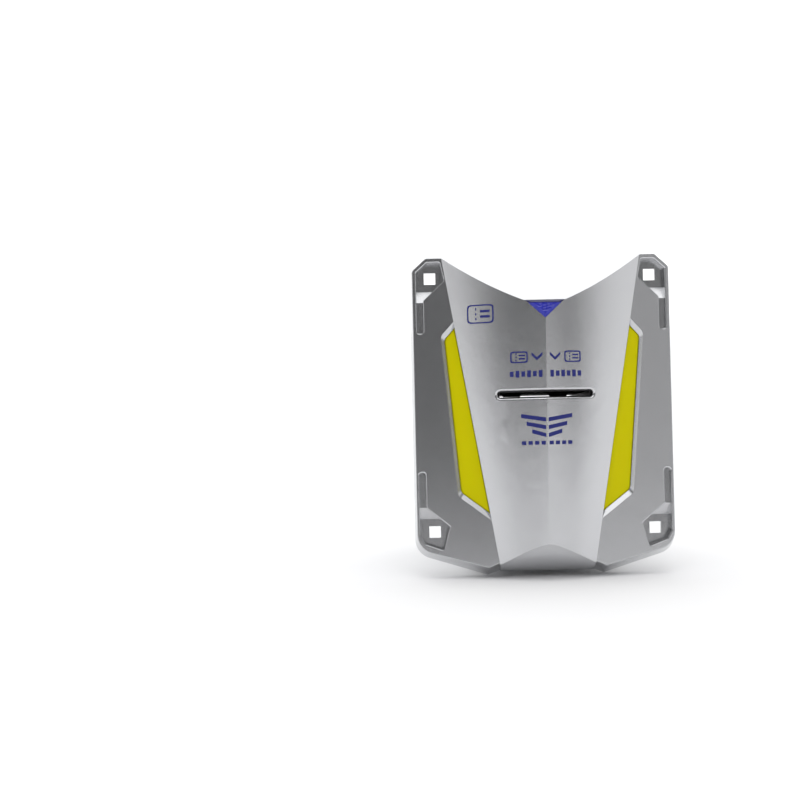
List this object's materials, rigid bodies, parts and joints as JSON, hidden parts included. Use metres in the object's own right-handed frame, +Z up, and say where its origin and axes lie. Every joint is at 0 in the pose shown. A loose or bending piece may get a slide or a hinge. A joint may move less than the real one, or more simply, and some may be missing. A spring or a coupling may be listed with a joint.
{
  "type": "ticket dispenser",
  "caption": "Panel-mounted ticket dispenser: faceted silver faceplate with lit side panels and a ticket slot, in front of a motor-driven roller feed with a lift-up cover.",
  "frame": {"origin": "centre of the four bolt holes on the mounting plane, the faceplate's rear rim", "axes": "+X to the right seen from the front, +Y back into the machine, +Z up"},
  "size_m": [0.1062, 0.1022, 0.1308],
  "materials": {
    "silver_paint": "satin silver paint on moulded plastic",
    "yellow_panel": "gloss translucent",
    "blue_lens": "gloss faceted",
    "board_green": "solder mask",
    "led_white": "gloss",
    "zinc_screw": "zinc plated",
    "zinc_sheet": "zinc plated sheet",
    "black_plastic": "fine textured",
    "bright_steel": "ground",
    "spring_steel": "dark satin",
    "feed_rubber": "ground",
    "white_nylon": "moulded",
    "bronze": "sintered",
    "contact_brass": "bright",
    "motor_steel": "rolled",
    "arm_steel": "zinc plated",
    "button_red": "gloss"
  },
  "bodies": {
    "root": {"faceplate": "silver_paint", "right_light_panel": "yellow_panel", "left_light_panel": "yellow_panel", "jewel_lens": "blue_lens", "right_strip_board": "board_green", "left_strip_board": "board_green", "lamp_board": "board_green", "control_board": "board_green", "sensor_board": "board_green", "strip_leds": "led_white", "jewel_lamp": "led_white", "strip_screws": "zinc_screw", "lamp_screws": "zinc_screw", "chassis_screws": "zinc_screw", "frame_screws": "zinc_screw", "tray_screws": "zinc_screw", "board_screws": "zinc_screw", "cap_screws": "zinc_screw", "guide_screws": "zinc_screw", "sensor_screws": "zinc_screw", "motor_screws": "zinc_screw", "front_bracket": "zinc_sheet", "right_side_frame": "zinc_sheet", "left_side_frame": "zinc_sheet", "base_tray": "zinc_sheet", "lower_guide": "black_plastic", "nozzle_cap": "black_plastic", "button_barrel": "black_plastic", "button_nut": "black_plastic", "board_parts": "black_plastic", "sensor_eye": "black_plastic", "hinge_pin": "bright_steel", "idler_stud": "bright_steel", "board_standoffs": "bright_steel", "idler_clip": "spring_steel", "pin_clip": "spring_steel", "connector_shell": "white_nylon", "shaft_bushes": "bronze", "connector_pins": "contact_brass", "gearbox": "motor_steel", "motor_can": "motor_steel"},
    "drive": {"drive_shaft": "bright_steel", "drive_hubs": "white_nylon", "drive_tyres": "feed_rubber", "drive_clips": "spring_steel", "drive_gear": "white_nylon"},
    "idler": {"idler_gear": "white_nylon"},
    "motor": {"motor_pinion": "white_nylon", "motor_shaft": "bright_steel"},
    "cover": {"guide_cover": "black_plastic", "arm_pin": "bright_steel"},
    "pinch_arm": {"pinch_arm": "arm_steel", "pinch_springs": "spring_steel"},
    "pinch": {"pinch_shaft": "bright_steel", "pinch_hubs": "white_nylon", "pinch_tyres": "feed_rubber", "pinch_clips": "spring_steel"},
    "feed_button": {"feed_button": "button_red"}
  },
  "joints": [
    {"name": "drive_spin", "type": "hinge", "parent": "root", "child": "drive", "pos_m": [0, 0.028, -0.0039], "axis": [1, 0, 0], "continuous": true},
    {"name": "idler_spin", "type": "hinge", "parent": "root", "child": "idler", "pos_m": [0, 0.04201, -0.02138], "axis": [1, 0, 0], "continuous": true},
    {"name": "motor_spin", "type": "hinge", "parent": "root", "child": "motor", "pos_m": [0, 0.032, -0.03777], "axis": [1, 0, 0], "continuous": true},
    {"name": "cover_hinge", "type": "hinge", "parent": "root", "child": "cover", "pos_m": [0, 0.063, 0.0145], "axis": [-1, 0, 0], "range_deg": [0, 80]},
    {"name": "pinch_arm_lift", "type": "hinge", "parent": "cover", "child": "pinch_arm", "pos_m": [0, 0.044, 0.012], "axis": [-1, 0, 0], "range_deg": [0, 6.5], "stiffness_Nm_per_rad": 0.3, "springref_deg": -11.46, "deforming": ["pinch_springs"]},
    {"name": "pinch_spin", "type": "hinge", "parent": "pinch_arm", "child": "pinch", "pos_m": [0, 0.028, 0.0094], "axis": [1, 0, 0], "continuous": true},
    {"name": "feed_button_press", "type": "slide", "parent": "root", "child": "feed_button", "axis": [0, -1, 0], "range_m": [0, 0.002], "stiffness_N_per_m": 300, "springref_m": -0.002}
  ],
  "couplings": [
    {"joint": "idler_spin", "follows": "drive_spin", "ratio": -0.75},
    {"joint": "motor_spin", "follows": "drive_spin", "ratio": 1.5},
    {"joint": "pinch_spin", "follows": "drive_spin", "ratio": -1.1667}
  ]
}
